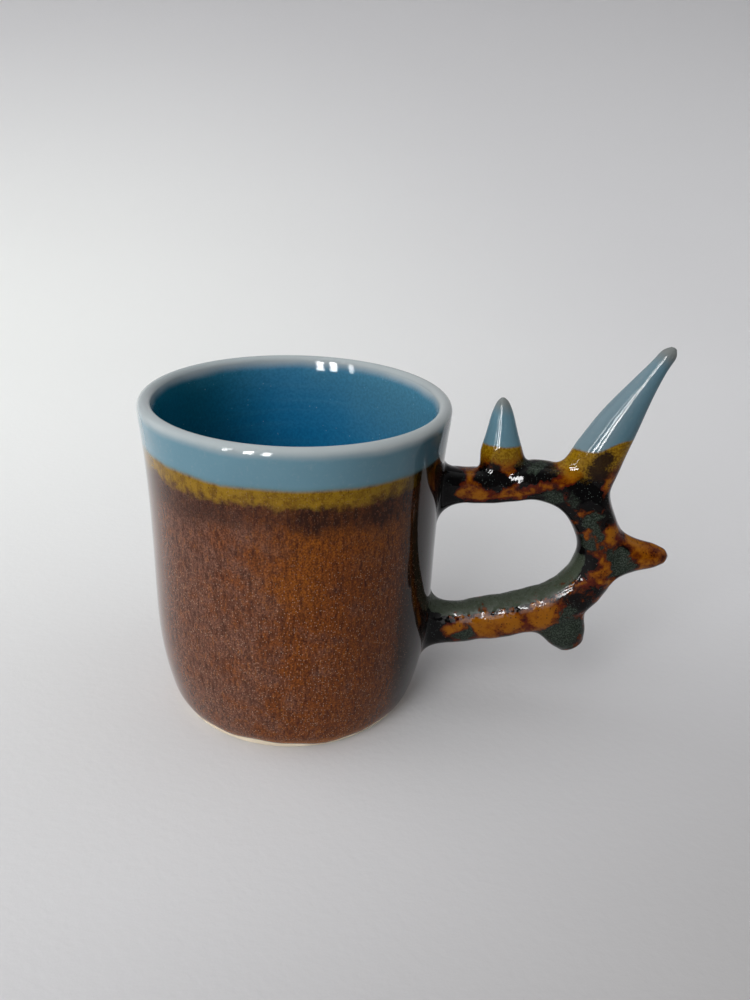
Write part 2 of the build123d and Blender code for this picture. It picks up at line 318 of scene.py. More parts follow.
def bow_skin(place, turn, sink=0.0):
    """A point of the bow's skin: middle + first * depth / 2 towards the opening + second *
    breadth / 2 along Y, where (first, second) is the unit section at that turn."""
    place, turn = np.broadcast_arrays(np.asarray(place, float), np.asarray(turn, float))
    rows, heading = bow_middle(place.ravel())
    first, second = soft_square(turn.ravel() % 1.0, bow_fullness(place.ravel()))
    deep, broad = rows[:, 2] / 2 - sink, rows[:, 3] / 2 - sink
    x = rows[:, 0] + heading[:, 1] * first * deep
    z = rows[:, 1] - heading[:, 0] * first * deep
    points = np.stack((x, second * broad, z), axis=1)
    outwards = np.stack((heading[:, 1] * first, second, -heading[:, 0] * first), axis=1)
    return (points + unit(outwards) * lumps(points)[:, None]).reshape(*place.shape, 3)


# %% Where the glaze pooled
# Where it ran thick on the handle (+) or drew thin (-): x, z, radius in mm, and how strongly
glaze_pools = np.array([
    (43.8, 73.2, 2.9, 0.95), (43.0, 69.4, 2.2, 0.7), (43.6, 29.6, 3.2, 0.95),
    (49.4, 74.6, 2.1, -0.55), (42.0, 66.4, 3.4, 0.85), (41.6, 61.6, 3.4, 0.9),
    (41.6, 77.2, 2.4, 0.6), (41.8, 25.6, 2.6, 0.55), (41.4, 20.2, 3.2, 0.6), (41.2, 33.0, 2.6, 0.5),
    (52.6, 73.2, 2.9, 0.6), (57.0, 72.2, 2.4, 0.55), (67.0, 76.8, 4.0, 0.5),
    (69.6, 75.0, 2.4, 0.34), (63.4, 75.4, 2.2, 0.24), (83.4, 74.6, 2.4, 0.42),
    (80.3, 70.4, 3.8, 0.62), (84.4, 68.6, 3.0, 0.6), (71.7, 69.0, 3.0, 0.34),
    (77.3, 68.2, 2.8, 0.38), (84.3, 61.3, 3.2, 0.34), (85.7, 55.8, 3.0, 0.3),
    (88.0, 63.6, 2.8, 0.26), (92.6, 50.7, 2.9, 0.52), (92.7, 46.6, 2.4, 0.5),
    (97.0, 47.4, 2.2, 0.42), (92.5, 55.1, 2.3, 0.46), (84.0, 47.6, 2.2, 0.3),
    (88.8, 45.6, 1.6, -0.2), (83.7, 37.0, 3.4, 0.34), (86.8, 40.4, 2.6, 0.32),
    (68.8, 27.2, 2.2, 0.36), (51.6, 21.4, 2.4, 0.42), (80.5, 27.0, 4.6, 0.3),
    (77.4, 23.4, 4.0, 0.3), (83.0, 51.2, 2.6, 0.44), (81.4, 46.6, 2.4, 0.46),
    (104.9, 53.1, 1.0, 0.34), (74.4, 72.6, 1.8, 0.2), (80.1, 59.8, 1.9, 0.1),
    (64.0, 22.0, 2.0, 0.3), (43.0, 21.5, 2.4, 0.4), (47.0, 69.8, 2.9, -0.34),
    (52.1, 67.4, 1.7, -0.24), (58.1, 67.9, 1.8, -0.22), (64.1, 68.6, 1.5, -0.22),
    (56.0, 79.4, 3.0, -0.2), (60.0, 76.2, 2.8, -0.24), (75.0, 77.6, 3.4, -0.26),
    (86.0, 73.0, 1.7, -0.6), (85.8, 70.6, 1.3, -0.62), (68.6, 71.6, 1.6, -0.44),
    (80.6, 65.0, 1.6, -0.44), (77.6, 61.0, 1.7, -0.44), (80.8, 57.0, 1.7, -0.5),
    (89.4, 56.5, 2.2, -0.38), (98.6, 54.4, 4.0, -0.2), (89.3, 48.5, 1.9, -0.32),
    (80.8, 42.2, 2.3, -0.3), (74.1, 31.4, 4.0, -0.3), (57.0, 27.9, 3.8, -0.34),
    (49.6, 26.5, 3.4, -0.34), (64.5, 28.7, 3.4, -0.3), (75.0, 27.4, 1.7, -0.26),
    (101.0, 50.2, 2.2, -0.16), (62.0, 72.5, 2.0, 0.46), (58.8, 71.6, 1.6, 0.3),
])
# Where it was thick enough to turn green-grey and grow crystals as it cooled
crystal_pools = np.array([
    (84.0, 61.6, 2.6, 0.75), (85.6, 56.2, 3.2, 1.0), (80.5, 27.0, 5.0, 1.1), (77.4, 23.0, 4.2, 1.1),
    (51.6, 21.2, 2.6, 0.8), (92.6, 51.2, 3.0, 1.0), (92.8, 46.8, 2.6, 0.9), (97.2, 47.4, 2.0, 0.7),
    (66.6, 79.0, 3.2, 0.95), (71.9, 68.8, 2.6, 0.62), (77.0, 67.6, 2.4, 0.6),
    (64.0, 21.6, 2.0, 0.6), (85.4, 39.6, 2.4, 0.45), (86.8, 44.6, 1.8, 0.45),
])


def pooled(points, pools):
    """The sum of all pools at a point: each gives its strength at its centre and fades as a smooth
    bell with the distance, in which the way across the handle counts for little. The point is first
    moved by a few slow waves, so that no pool comes out round."""
    x, y, z = points[..., 0, None], points[..., 1, None], points[..., 2, None]
    turn = 0.22 * (y + 5.2)
    x = x + 0.9 * np.sin(0.83 * z + 0.31 * x + turn) + 0.5 * np.sin(1.9 * z - 0.7 * x)
    z = z + 0.9 * np.sin(0.71 * x - 0.27 * z - turn) + 0.5 * np.sin(1.7 * x + 0.9 * z)
    share = ((x - pools[:, 0]) ** 2 + turn**2 + (z - pools[:, 1]) ** 2) / (1.2 * pools[:, 2]) ** 2
    return np.sum(pools[:, 3] * np.exp(-(share**1.4)), axis=-1)


def pool_marks(points):
    return {"pooling": pooled(points, glaze_pools), "crystals": pooled(points, crystal_pools)}


# %% The bow
BOW_ROWS, BOW_TURNS, FROM_ENDS = 360, 112, 0.6
places = np.linspace(FROM_ENDS, bow_length - FROM_ENDS, BOW_ROWS)
turns = np.linspace(0, 1, BOW_TURNS, endpoint=False)
place_grid, turn_grid = np.meshgrid(places, turns, indexing="ij")
bow_points = bow_skin(place_grid, turn_grid)
handle = sew(
    "pulled_bow", bow_points, bow_points[0].mean(axis=0), bow_points[-1].mean(axis=0),
    marks={"inward": soft_square(turn_grid, FULL)[0]} | pool_marks(bow_points),
)


# %% [markdown]
# ## Fillets at the roots
#
# Where the handle meets the wall, the potter works a coil of clay round it and smooths it both
# ways. Its surface leaves the wall flat against it and arrives along the handle. A Bezier curve
# does just that: its first handle lies in the wall, and its last handle lies along the bow.

# %% Root fillets
def bend(start, leave, arrive, end, count, sharp=0.5):
    """Rows of points on Bezier curves from start to end that set off along leave and come in along
    arrive. Both handles are a share of the distance that the curve has to go."""
    reach = np.linalg.norm(end - start, axis=-1, keepdims=True) * sharp
    t = np.linspace(0, 1, count)[:, None, None]
    return (
        (1 - t) ** 3 * start
        + 3 * (1 - t) ** 2 * t * (start + leave * reach)
        + 3 * (1 - t) * t**2 * (end - arrive * reach)
        + t**3 * end
    )


def on_wall(y, z, sink=0.0):
    """The point of the cup's outer wall, on the handle's side, at that y and that height."""
    return np.stack((np.sqrt((wall_radius(z) - sink) ** 2 - y**2), y, z), axis=-1)


RING_TURNS = np.linspace(0, 1, 96, endpoint=False)
BEDDED = 0.02  # how deep the edge of a fillet or thorn lies in the skin that it meets


def root_fillet(name, root, up, down, side, reach):
    """A closed fillet round one root: rings from inside the wall, out over its skin and along the
    bow, and down into the bow again. up, down and side say how far it flares on the wall."""
    towards = 1 if root == 0 else -1
    end_place = root + towards * reach
    _, height, depth, breadth = bow_middle(np.array([root + towards * 2.5]))[0][0]
    first, second = soft_square(RING_TURNS, AT_WALL)
    rise = -towards * first
    z = height + rise * (depth / 2 + np.where(rise > 0, up, down))
    y = second * (breadth / 2 + side)
    start = on_wall(y, z, BEDDED)
    nudged = start + 0.02 * unit(np.array((start[:, 0].mean(), 0, height)) - start)
    leave = unit(on_wall(nudged[:, 1], nudged[:, 2]) - on_wall(y, z))
    here, ahead = (bow_skin(end_place + towards * step, RING_TURNS) for step in (0, 0.2))
    end = bow_skin(end_place, RING_TURNS, 0.03)
    skin = bend(start, leave, unit(ahead - here), end, 36, 0.42)
    deep = on_wall(y * 0.97, z * 0.97 + height * 0.03, 1.2)
    inside = bow_skin(end_place + towards * 0.1, RING_TURNS, 1.0)
    rings = np.concatenate((deep[None], skin, inside[None]))
    marks = {"inward": np.repeat(first[None], len(rings), axis=0)} | pool_marks(rings)
    return sew(name, rings, deep.mean(axis=0), inside.mean(axis=0), marks=marks)


upper_fillet = root_fillet("upper_fillet", 0, up=3.2, down=8.0, side=3.0, reach=10.5)
lower_fillet = root_fillet("lower_fillet", bow_length, up=5.6, down=6.2, side=3.2, reach=9.0)


# %% [markdown]
# ## Rolled thorns
#
# Each thorn is a small cone of clay, rolled in the hand, pressed onto the loop and blended in with
# a wet finger. Above the blend its skin is a middle line with sizes along it. The blend itself is
# again a Bezier curve, from a wide ring on the bow's skin up to the cone. The two upright thorns
# went into the blue glaze with the rim, so they are parted at the dip line into a clay piece, which
# goes on as a core, and a thin cap of blue glaze that fits over that core like a thimble.

# %% One thorn's rings
def thorn_rings(thorn):
    """All rings of a thorn's skin from the bow to its tip, and the thorn's middle at each ring."""
    lean = math.radians(thorn["lean"])
    ahead = np.array((math.sin(lean), 0, math.cos(lean)))
    across = np.array((math.cos(lean), 0, -math.sin(lean)))
    seat = thorn["seat"]
    rows, _ = bow_middle(np.array([seat]))
    root = np.array((rows[0, 0], 0, rows[0, 1]))
    length, neck = thorn["length"], thorn["neck"]
    table = np.array(thorn["outline"])

    def form(share):
        """The cone at a share of its length: its middle line bows by a parabola, and its section
        is a round with the sizes of the table along the loop and across it."""
        sizes = smooth_curve(table[:, 0], table[:, 1:], share)
        middle = root + ahead * (share * length)[:, None]
        middle = middle - across * (thorn["bow"] * length * 4 * share * (1 - share))[:, None]
        first, second = soft_square(RING_TURNS, ROUND)
        deep = sizes[:, :1, None] * neck / 2 * first[None, :, None]
        broad = sizes[:, 1:, None] * neck / 2 * second[None, :, None]
        return middle[:, None] + across * deep + np.array((0, 1, 0)) * broad, middle

    turn = RING_TURNS * 2 * math.pi
    # The ring on the bow: further along the bow at turn 0, and further round it at a quarter turn
    reach = np.where(np.cos(turn) > 0, thorn["reach"][1], thorn["reach"][0])
    place = seat + np.cos(turn) * reach
    round_share = 0.5 - np.sin(turn) * thorn["wrap"]
    start = bow_skin(place, round_share, BEDDED)
    inner = bow_skin(seat + 0.98 * (place - seat), 0.5 + 0.98 * (round_share - 0.5), BEDDED)
    blend_top = thorn["blend"]
    shares = blend_top + (1 - blend_top) * np.linspace(0, 1, 90) ** 0.9
    cone, middle = form(np.minimum(shares, table[-1, 0]))
    above = form(np.array([blend_top + 0.02]))[0][0]
    # How far the blend's handles reach: on the wall's side, and on the side away from it
    near_fill, far_fill = thorn["fill"]
    fill = near_fill + (far_fill - near_fill) * np.maximum(np.cos(turn), 0)[:, None] ** 2
    skin = bend(start, unit(inner - start), unit(above - cone[0]), cone[0], 34, fill)
    deep = bow_skin(seat + 0.9 * (place - seat), 0.5 + 0.9 * (round_share - 0.5), 1.4)
    rings = np.concatenate((deep[None], skin, cone[1:]))
    base = np.repeat(root[None], len(skin) + 1, axis=0)
    tip = root + ahead * length
    inward = np.concatenate((
        np.linspace(1, 0, len(skin) + 1)[:, None] * (soft_square(round_share, FULL)[0] + 1) - 1,
        -np.ones((len(cone) - 1, len(RING_TURNS))),
    ))
    return rings, np.concatenate((base, middle[1:])), tip, inward


def clay_thorn(name, thorn):
    """A thorn that is one piece from the bow to its tip."""
    rings, _, tip, inward = thorn_rings(thorn)
    marks = {"inward": inward} | pool_marks(rings)
    return sew(name, rings, first_pole=rings[0].mean(axis=0), last_pole=tip, marks=marks)


short_form = {
    "seat": 18.9, "lean": -4.0, "length": 25.1, "neck": 10.6, "bow": 0.0, "blend": 0.44,
    "reach": (8.2, 9.6), "wrap": 0.15, "fill": (0.50, 0.50),
    "outline": [
        (0.24, 1.50, 0.82), (0.33, 1.22, 0.85), (0.43, 1.05, 0.86), (0.56, 0.87, 0.79),
        (0.70, 0.70, 0.67), (0.84, 0.52, 0.51), (0.92, 0.37, 0.37), (0.97, 0.22, 0.22),
        (0.993, 0.10, 0.10),
    ],
}
long_form = {
    "seat": 41.4, "lean": 24.2, "length": 47.3, "neck": 14.0, "bow": 0.031, "blend": 0.30,
    "reach": (10.2, 10.6), "wrap": 0.16, "fill": (0.47, 0.58),
    "outline": [
        (0.17, 1.22, 0.69), (0.26, 1.05, 0.72), (0.36, 0.94, 0.74), (0.49, 0.82, 0.70),
        (0.66, 0.60, 0.57), (0.83, 0.39, 0.39), (0.92, 0.32, 0.32), (0.97, 0.25, 0.25),
        (0.996, 0.11, 0.11),
    ],
}
side_form = {
    "seat": 61.6, "lean": 88.0, "length": 19.9, "neck": 11.8, "bow": 0.0, "blend": 0.50,
    "reach": (11.5, 12.0), "wrap": 0.17, "fill": (0.48, 0.48),
    "outline": [
        (0.36, 1.14, 0.84), (0.50, 0.88, 0.79), (0.66, 0.71, 0.69), (0.80, 0.59, 0.59),
        (0.91, 0.42, 0.42), (0.97, 0.25, 0.25), (0.995, 0.09, 0.09),
    ],
}
lower_form = {
    "seat": 83.4, "lean": 150.0, "length": 16.3, "neck": 13.4, "bow": 0.0, "blend": 0.62,
    "reach": (9.4, 10.4), "wrap": 0.16, "fill": (0.46, 0.46),
    "outline": [
        (0.30, 1.24, 0.72), (0.55, 1.00, 0.72), (0.74, 0.84, 0.68), (0.87, 0.66, 0.56),
        (0.955, 0.42, 0.36), (0.992, 0.15, 0.13),
    ],
}
side_piece = clay_thorn("side_spike", side_form)
lower_piece = clay_thorn("lower_nub", lower_form)

# %% Thorns with a blue cap
CAP_COAT, CLAY_RINGS, CORE_RINGS = 0.35, 80, 60


def dipped_thorn(name, cap_name, thorn):
    """Two pieces that meet at the dip line: each column of the thorn's rings is walked up to the
    ring number, with a fraction, at which its height is that of the line."""
    rings, middles, tip, inward = thorn_rings(thorn)
    height = rings[..., 2]
    last_below = len(rings) - 1 - np.argmax((height < DIP_LINE)[::-1], axis=0)
    column = np.arange(rings.shape[1])
    low, high = height[last_below, column], height[last_below + 1, column]
    crossing = last_below + (DIP_LINE - low) / (high - low)

    def walk(numbers):
        """The ring points, and their middles, at fractional ring numbers, one row per column."""
        floor = np.minimum(numbers.astype(int), len(rings) - 2)
        part = (numbers - floor)[..., None]
        skin = rings[floor, column] * (1 - part) + rings[floor + 1, column] * part
        return skin, middles[floor] * (1 - part) + middles[floor + 1] * part

    clay_shares = np.linspace(0, 1, CLAY_RINGS)[:, None]
    core_shares = np.linspace(0, 1, CORE_RINGS)[:, None]
    below, _ = walk(clay_shares * crossing)
    mark = inward[(clay_shares * crossing).astype(int), column]
    upper, middle = walk(crossing + core_shares * (len(rings) - 1 - crossing))
    thick = np.linalg.norm(middle - upper, axis=-1, keepdims=True)
    core = upper + (middle - upper) * np.minimum(CAP_COAT / thick, 0.6)
    core_tip = tip + (middles[-1] - tip) * 0.2 - np.array((0, 0, CAP_COAT))
    core[..., 2] = np.minimum(core[..., 2], core_tip[2] - 0.02)
    clay_rings = np.concatenate((below, core))
    marks = {"inward": np.concatenate((mark, -np.ones(core.shape[:2])))} | pool_marks(clay_rings)
    clay = sew(name, clay_rings, rings[0].mean(axis=0), core_tip, marks=marks)
    cap = sew(cap_name, np.concatenate((upper[::-1], core)), tip, core_tip)
    return clay, cap


short_piece, short_cap = dipped_thorn("short_spike", "short_cap", short_form)
long_piece, long_cap = dipped_thorn("long_spike", "long_cap", long_form)


# %% [markdown]
# ## Shader maths as plain expressions
#
# A glaze is arithmetic on heights and noises. Writing `height - line + wander * 1.6` is easier to
# read than a web of Math nodes, so one small class stands for a socket and turns each operator
# into a node. Colours are laid over each other, and never go through Math nodes, which would make
# them grey.

# %% A socket that can be reckoned with
class Wire:
    """One value among the nodes. Each operator on it adds the Math node that works it out."""

    def __init__(self, nodes, socket):
        self.nodes, self.socket = nodes, socket

    def math(self, operation, *values):
        return self.nodes.add("ShaderNodeMath", {"operation": operation}, dict(enumerate(values)))

    def __add__(self, other):
        return self.math("ADD", self, other)

    def __sub__(self, other):
        return self.math("SUBTRACT", self, other)

    def __rsub__(self, other):
        return self.math("SUBTRACT", other, self)

    def __mul__(self, other):
        return self.math("MULTIPLY", self, other)

    def larger(self, other):
        return self.math("MAXIMUM", self, other)

    __radd__, __rmul__ = __add__, __mul__


class Nodes:
    """A tree of nodes, whether a material's or the world's, and the one way of adding to it."""

    def __init__(self, tree):
        self.tree = tree

    def add(self, kind, settings, inputs, output=0):
        """One node of that kind, with its settings made first and then its sockets filled with
        values or links. A ramp's stops are the setting stops. Gives the output's Wire, or the
        node itself where the output is None."""
        node = self.tree.nodes.new(kind)
        for key, value in settings.items():
            if key != "stops":
                setattr(node, key, value)
        ramp = settings.get("stops", [])
        for number, (position, colour) in enumerate(ramp):
            elements = node.color_ramp.elements
            element = elements[number] if number < 2 else elements.new(position)
            element.position, element.color = position, (*colour, 1)
        for key, value in inputs.items():
            if isinstance(value, Wire):
                self.tree.links.new(value.socket, node.inputs[key])
            else:
                node.inputs[key].default_value = value
        return node if output is None else Wire(self, node.outputs[output])

    def apart(self, vector):
        """The X, Y and Z of a vector."""
        parts = self.add("ShaderNodeSeparateXYZ", {}, {0: vector}, None)
        return [Wire(self, parts.outputs[axis]) for axis in "XYZ"]

    def step(self, value, low, high, bottom=0.0, top=1.0, kind="SMOOTHSTEP"):
        """bottom up to low, top from high, and a smooth step, or a straight one, between them."""
        inputs = {"Value": value, "From Min": low, "From Max": high}
        inputs |= {"To Min": bottom, "To Max": top}
        return self.add("ShaderNodeMapRange", {"interpolation_type": kind}, inputs)


# %% The nodes of a material
class Finish(Nodes):
    """A material, with what this lesson often adds to its nodes. Lengths are in mm."""

    def __init__(self, name):
        self.material = bpy.data.materials.new(name)
        self.material.use_nodes = True
        super().__init__(self.material.node_tree)
        self.shader = self.tree.nodes["Principled BSDF"]
        in_mm = {0: self.add("ShaderNodeTexCoord", {}, {}, "Object"), "Scale": 1 / METRE}
        self.spot = self.add("ShaderNodeVectorMath", {"operation": "SCALE"}, in_mm)
        self.x, self.y, self.z = self.apart(self.spot)

    def over(self, colour, *coats):
        """A colour with coats laid over it in turn. Each coat is a mask, 0 to 1, and a colour."""
        settings = {"data_type": "RGBA", "clamp_factor": True}
        for mask, coat in coats:
            under, top = (each if isinstance(each, Wire) else (*each, 1) for each in (colour, coat))
            colour = self.add("ShaderNodeMix", settings, {0: mask, 6: under, 7: top}, 2)
        return colour

    def shade(self, colour, amount):
        """A colour made lighter or darker: each of its parts times the amount."""
        grey = self.add("ShaderNodeCombineXYZ", {}, {0: amount, 1: amount, 2: amount})
        return self.add("ShaderNodeVectorMath", {"operation": "MULTIPLY"}, {0: colour, 1: grey})

    def stretch(self, x=1.0, y=1.0, z=1.0, shift=(0, 0, 0)):
        """The place in mm, with each axis scaled, so that a pattern runs long where it is small."""
        inputs = {"Vector": self.spot, "Scale": (x, y, z), "Location": shift}
        return self.add("ShaderNodeMapping", {}, inputs)

    def ramp(self, value, stops):
        """A colour from a row of (position, colour) stops."""
        return self.add("ShaderNodeValToRGB", {"stops": stops}, {0: value})

    def mark(self, name):
        """A number that was kept on the mesh when it was sewn."""
        return self.add("ShaderNodeAttribute", {"attribute_name": name}, {}, "Fac")

    def cloud(self, size, vector=None, detail=3.0, rough=0.5, warp=0.0):
        """Noise from 0 to 1 whose blots are about size mm across."""
        inputs = {"Vector": vector or self.spot, "Scale": 1 / size, "Detail": detail,
                  "Roughness": rough, "Distortion": warp}
        return self.add("ShaderNodeTexNoise", {}, inputs)

    def specks(self, size, share, vector=None, grain=0.28):
        """Small dots round the points of Voronoi cells about size mm across. Only the cells whose
        random colour passes the share show theirs."""
        inputs = {"Vector": vector or self.spot, "Scale": 1 / size}
        away, colour = (
            self.add("ShaderNodeTexVoronoi", {}, inputs, output) for output in ("Distance", "Color")
        )
        pick = self.add("ShaderNodeSeparateColor", {}, {0: colour})
        return self.step(away, grain, grain * 0.45) * self.step(pick, 1 - share, 1 - share * 0.8)

    def near(self, centre, radius, soft, ragged):
        """A blot: 1 within the radius of the centre, 0 beyond it, with an edge that wanders."""
        away = self.add(
            "ShaderNodeVectorMath", {"operation": "DISTANCE"}, {0: self.spot, 1: centre}, "Value"
        )
        return self.step(away + ragged, radius + soft, radius - soft)

    def wear(self, colour, roughness, height=None, strength=0.0, **others):
        """Links what varies to the shader, and sets what doesn't on the shader's own sockets."""
        ties = {"Base Color": colour, "Roughness": roughness}
        ties |= {socket.replace("_", " "): value for socket, value in others.items()}
        if height is not None:
            inputs = {"Height": height, "Strength": strength, "Distance": METRE}
            ties["Normal"] = self.add("ShaderNodeBump", {}, inputs)
        for socket, value in ties.items():
            if isinstance(value, Wire):
                self.tree.links.new(value.socket, self.shader.inputs[socket])
            else:
                self.shader.inputs[socket].default_value = value
        print("finish", self.material.name, "with", len(self.tree.nodes), "nodes")
        return self.material


# %% [markdown]
# ## Bare clay
#
# The foot was wiped clean before the firing, or the glaze would have stuck the mug to the kiln
# shelf. It is a pale, dry, faintly sandy cream, so it is rough, with fine grains in its bump.

# %% Bare clay
CREAM, CREAM_LIGHT, GRIT = (0.60, 0.50, 0.36), (0.72, 0.64, 0.50), (0.28, 0.17, 0.09)


def make_bare_clay():
    clay = Finish("bare_cream_clay")
    grit = clay.specks(0.9, 0.25) * 0.5
    body = clay.over(CREAM, (clay.cloud(9.0), CREAM_LIGHT), (grit, GRIT))
    return clay.wear(body, 0.82, clay.cloud(0.6, detail=4.0), 0.25)


bare_clay = make_bare_clay()

# %% [markdown]
# ## The blue dip and the rust wall
#
# Two glazes overlap on the wall. The rust one was poured first, and the blue one was taken on by
# dipping the rim. Where they meet they melt into each other: blue, then a narrow mustard band, a
# dark purple-brown band where the rust pools, and then the rust itself, which ran down in fine
# streaks and is full of tiny crystals. One function gives the blue of the rim, the wall and the
# thorns, so that no join between those pieces shows. Towards the handle, where the wall is turned
# away from the light, its colours get painted shade, darkest round the handle's roots.

# %% Blue and rust
BLUE, BLUE_LIGHT, BLUE_THIN = (0.112, 0.225, 0.290), (0.138, 0.262, 0.325), (0.40, 0.425, 0.425)
OLIVE, OLIVE_DEEP = (0.255, 0.142, 0.006), (0.145, 0.070, 0.001)
POOLED, POOLED_PURPLE = (0.014, 0.003, 0.001), (0.070, 0.020, 0.008)
RUST, RUST_RED, RUST_DEEP = (0.150, 0.037, 0.003), (0.145, 0.050, 0.023), (0.032, 0.005, 0.0005)
AMBER_STREAK, GOLD, BLOOM = (0.270, 0.080, 0.003), (0.46, 0.30, 0.20), (0.125, 0.066, 0.050)
BLUE_MELTED = (0.070, 0.120, 0.105)
# Indices of refraction: under a real glaze's 1.5, because the room that they mirror is empty
GLOSS, HANDLE_GLOSS = 1.27, 1.22


def blue_coat(glaze, fine):
    """The dipped blue, with soft clouds and a fine paler grain where it drew thin."""
    clouds, grain = glaze.cloud(11.0, detail=2.0), glaze.step(fine, 0.52, 0.85)
    return glaze.over(BLUE, (clouds, BLUE_LIGHT), (grain * 0.15, BLUE_THIN))


def make_wall_glaze():
    glaze = Finish("rust_and_blue_glaze")
    step, over, cloud, stretch = glaze.step, glaze.over, glaze.cloud, glaze.stretch
    specks, x, z = glaze.specks, glaze.x, glaze.z
    wander = cloud(13.0, detail=2.0) - 0.5
    patch = cloud(22.0, stretch(z=0.7)) - 0.5
    fine = cloud(0.45, detail=2.0)
    fringe = cloud(1.6, stretch(z=0.6), detail=4.0, rough=0.6) - 0.5
    streak = cloud(0.62, stretch(z=0.28), rough=0.6) - 0.5
    run = cloud(1.6, stretch(z=0.22), detail=4.0, rough=0.65) - 0.5
    soft_edge = cloud(2.6, detail=4.0, rough=0.6) - 0.5
    level = z - DIP_LINE + wander * 1.6
    # Painted shade: the colours darken towards the handle's side, which is turned away from the
    # light
    away = step(x, 8.0, 32.0, 1.0, 0.66) * step(x, 29.0, 37.0, 1.0, 0.60)
    # Painted shade, deepest round the handle: as far round as it shows, and less on the far side
    near_root = x - glaze.y.larger(0.0) * 0.5 + patch * 6.0 + run * 5.0
    root_shade = away * step(near_root, 29.4, 35.0, 1.0, 0.14)

    # The rust itself: warmer towards the top, crossed by streaks and grain. It is redder and hazier
    # on the left, a painted reflection of the bright side of the room
    bloom = step(cloud(6.0, detail=4.0, rough=0.6) + step(x, 20.0, -30.0) * 0.3, 0.50, 0.80)
    warm = step(z + patch * 50, 48.0, 70.0) * step(x + patch * 30, -14.0, 6.0)
    body = over(
        RUST, (step(x + patch * 34, 0.0, -30.0) * 0.85, RUST_RED), (bloom * 0.55, BLOOM),
        (warm * 0.38, AMBER_STREAK), (step(run, 0.00, -0.16) * 0.45, RUST_DEEP),
        (step(streak, 0.02, -0.16) * 0.62, RUST_DEEP),
        (step(streak, 0.06, 0.20) * 0.45, AMBER_STREAK),
    )
    # Fine mottle, times the painted shade towards the handle
    body = glaze.shade(body, step(fine, 0.30, 0.70, 0.55, 1.40) * root_shade)

    # Pooled band: dark, mottled, deeper towards the handle, running down further in places
    ragged = level + fringe * 3.0 + run * 9.0 + streak * 6.0 + patch * 10.0
    pool = step(ragged, -14.5, -9.0) * step(x, -42.0, 8.0, 0.45, 1.0)
    pool = pool * step(patch + run * 0.7, -0.18, 0.04, 0.62, 1.0)
    mottle = step(cloud(0.8, stretch(z=0.7), detail=4.0, rough=0.6), 0.50, 0.62)
    # Mustard band under the blue
    band_edge = level + soft_edge * 5.0 + fringe * 1.4 + wander * 2.0
    olive = over(OLIVE_DEEP, (step(soft_edge + fringe * 0.5 + fine * 0.5, 0.02, 0.38), OLIVE))
    # Tiny gold crystals, more of them low down and fewer in the painted shade towards the handle,
    # and dark pits
    low = step(z + patch * 20, 66.0, 50.0, 0.25, 1.0)
    crystals = specks(0.42, 0.30, stretch(z=0.8), 0.40) * low * away
    pits = specks(0.55, 0.36, stretch(z=0.5, shift=(3, 1, 2)), 0.40)
    body = over(
        body, (pool * 0.94, over(POOLED, (mottle * 0.70, POOLED_PURPLE))),
        # The mustard band gets the painted shade round the handle too
        (step(band_edge, -6.0, -2.8), glaze.shade(olive, root_shade)),
        # Amber where it thins above the bare foot
        (step(z + fringe * 2.0, 4.6, 2.4) * 0.6, AMBER_STREAK),
        (crystals * 0.62, GOLD), (pits * 0.45, RUST_DEEP),
    )

    # The blue band gets the painted shade towards the handle's side as well
    blue = glaze.shade(blue_coat(glaze, cloud(1.2, detail=4.0)), away)
    thin = step(z + wander * 1.6, 88.6, 91.4)
    blue = over(blue, (step(level, 1.6, 0.0) * 0.25, BLUE_MELTED), (thin * 0.85, BLUE_THIN))
    colour = over(body, (step(level + soft_edge * 0.8, -0.8, 0.7), blue))

    height = cloud(0.8) * 0.06 + cloud(7.0, stretch(x=0.4, y=0.4), detail=2.0) * 0.55
    rough = step(cloud(5.0), 0.3, 0.8, 0.05, 0.09)
    # The side away from the handle is the glassiest, as if it had one more thin clear coat
    clear = step(x, -24.0, -38.0) * 0.5
    return glaze.wear(
        colour, rough, height, 0.08, IOR=GLOSS, Coat_Weight=clear, Coat_Roughness=0.06, Coat_IOR=1.5
    )


wall_glaze = make_wall_glaze()


# %% [markdown]
# ## The poured inside
#
# The inside is the same blue, but a thicker coat of it, so it is deeper and more saturated. It
# pales where it drew thin below the lip. Rings left by the thrower's fingers show through it as
# faint level lines, and a few pale flecks are scattered in it.

# %% The inside
DEEP, DEEP_LIGHT, RING_BLUE = (0.007, 0.155, 0.330), (0.016, 0.200, 0.400), (0.05, 0.26, 0.42)
SHADED, INSIDE_LIT, FLECK = (0.001, 0.075, 0.095), (0.062, 0.185, 0.265), (0.30, 0.46, 0.52)


def make_liner_glaze():
    glaze = Finish("poured_blue_glaze")
    step, over, cloud, x, z = glaze.step, glaze.over, glaze.cloud, glaze.x, glaze.z
    rings = cloud(2.4, glaze.stretch(x=0.05, y=0.05), detail=4.0)
    soft = cloud(16.0, detail=2.0)
    # Painted light and shade: lighter towards the top and the right, where the light falls into the
    # cup, and darker on the shaded left
    inside_lit = step(z * 0.9 + x * 0.5 + soft * 14, 62.0, 98.0)
    colour = over(
        DEEP, (soft, DEEP_LIGHT), (step(rings, 0.48, 0.8) * 0.30, RING_BLUE),
        (step(x, -6.0, -36.0) * 0.8, SHADED), (inside_lit * 0.9, INSIDE_LIT),
    )
    colour = glaze.shade(colour, step(cloud(0.8), 0.3, 0.7, 0.90, 1.10))
    thin = step(z + (soft - 0.5) * 2.0, 88.0, 91.4)
    flecks = glaze.specks(1.1, 0.10, grain=0.22)
    colour = over(colour, (thin * 0.88, BLUE_THIN), (flecks * 0.35, FLECK))
    return glaze.wear(colour, 0.06, rings * 0.5 + cloud(0.9) * 0.10, 0.08, IOR=GLOSS)


